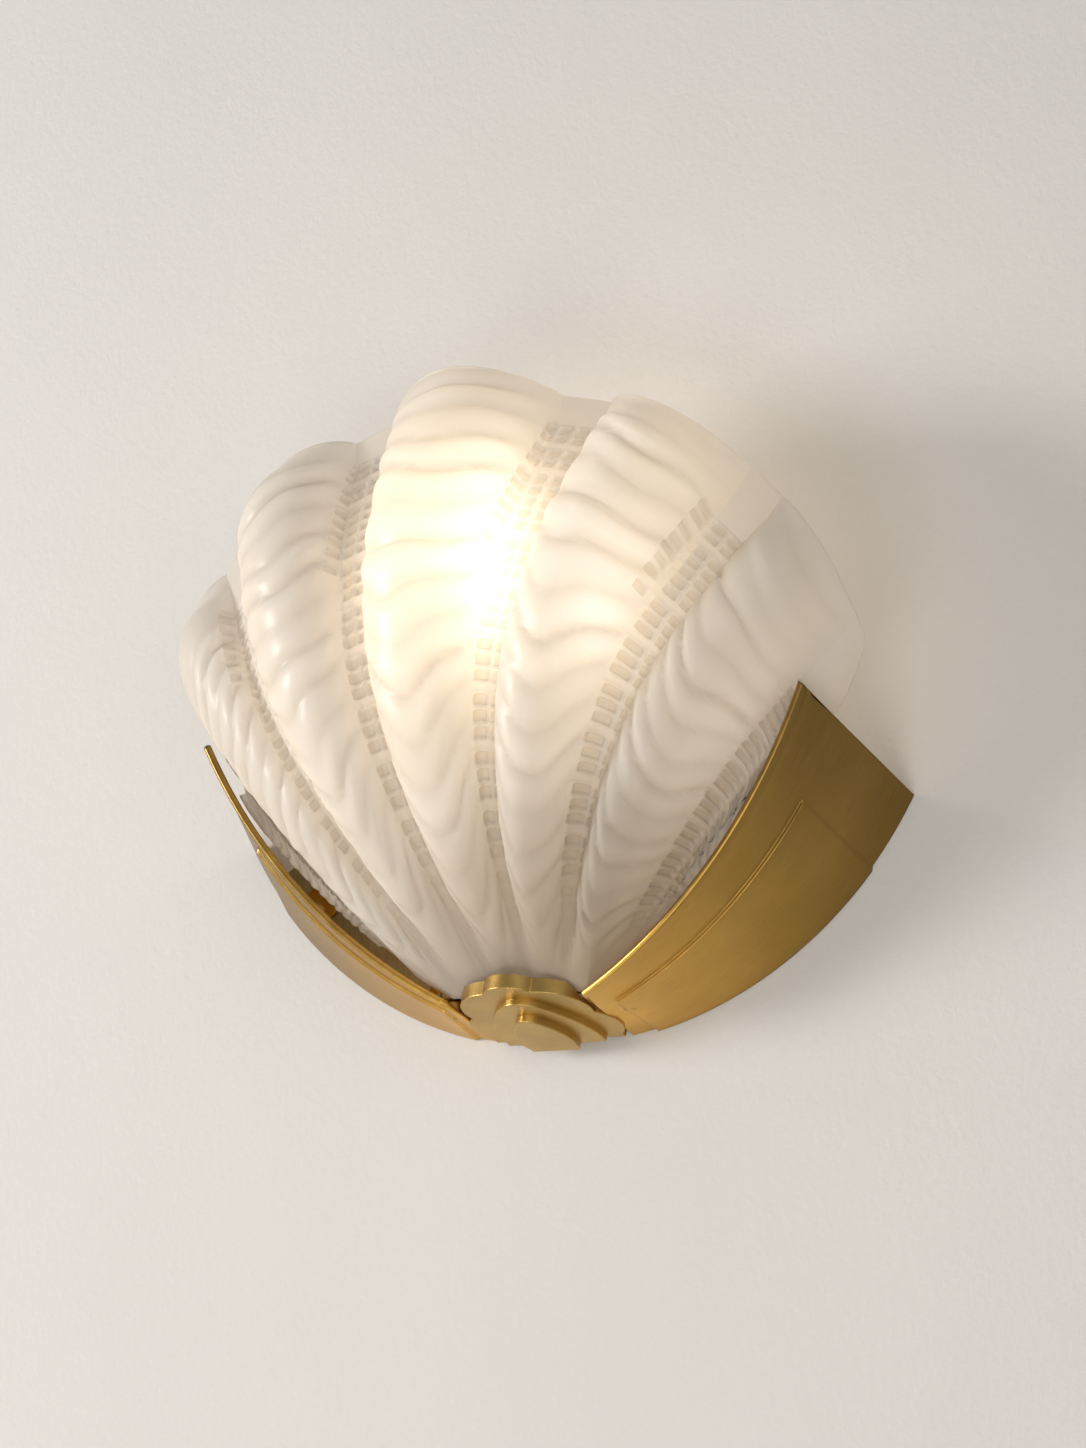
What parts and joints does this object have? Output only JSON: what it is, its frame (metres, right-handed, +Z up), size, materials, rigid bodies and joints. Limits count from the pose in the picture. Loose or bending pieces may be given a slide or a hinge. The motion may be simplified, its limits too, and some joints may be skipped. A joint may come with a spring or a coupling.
{
  "type": "wall sconce",
  "caption": "Shell-shaped wall light: fluted frosted glass shade in a curved brass cradle with a scalloped cap, on a wall plate with a lampholder.",
  "frame": {"origin": "centre of the two wall fixing holes, in the plane of the wall, 100 mm above the lowest edge of the cradle", "axes": "+Z up, +Y into the wall, +X to the right as seen from the room; the light stands out towards -Y"},
  "size_m": [0.3438, 0.1531, 0.2944],
  "materials": {
    "polished_brass": "brushed, lacquered",
    "zinc_steel": "zinc plated",
    "frosted_glass": "acid frosted",
    "silicone": "matt",
    "holder_plastic": "moulded",
    "holder_ceramic": "unglazed",
    "contact_brass": "plain",
    "bulb_metal": "nickel plated",
    "bulb_insulator": "matt",
    "bulb_glass": "opal",
    "filament": "phosphor",
    "live_insulation": "matt",
    "neutral_insulation": "matt",
    "earth_insulation": "matt"
  },
  "bodies": {
    "root": {"left_arm": "polished_brass", "right_arm": "polished_brass", "cap_scallop_plate": "polished_brass", "cap_middle_step": "polished_brass", "cap_tongue": "polished_brass", "wall_plate": "zinc_steel", "clamp_bar": "zinc_steel", "lampholder_bracket": "zinc_steel", "cap_stud": "zinc_steel", "cap_nut": "zinc_steel", "arm_screws": "zinc_steel", "clamp_screws": "zinc_steel", "bracket_screws": "zinc_steel", "earth_screw": "zinc_steel", "foot_seat": "silicone", "arm_pads": "silicone", "cable_grommet": "silicone", "lampholder_cup": "holder_plastic", "lampholder_sleeve": "holder_plastic", "terminal_block": "holder_plastic", "lampholder_core": "holder_ceramic", "screw_shell": "contact_brass", "centre_contact": "contact_brass", "nipple": "contact_brass", "nipple_nut": "contact_brass", "terminal_screws": "contact_brass", "earth_tag": "contact_brass", "live_lead": "live_insulation", "neutral_lead": "neutral_insulation", "earth_lead": "earth_insulation"},
    "shade": {"glass_shade": "frosted_glass"},
    "bulb": {"bulb_cap": "bulb_metal", "bulb_contact": "bulb_insulator", "bulb_envelope": "bulb_glass", "bulb_stem": "bulb_glass", "bulb_filaments": "filament"}
  },
  "joints": [
    {"name": "shade_lift", "type": "slide", "parent": "root", "child": "shade", "axis": [0, -0.5, 0.866], "range_m": [0, 0.12]},
    {"name": "bulb_unscrew", "type": "slide", "parent": "root", "child": "bulb", "axis": [0, 0, 1], "range_m": [0, 0.045]}
  ]
}
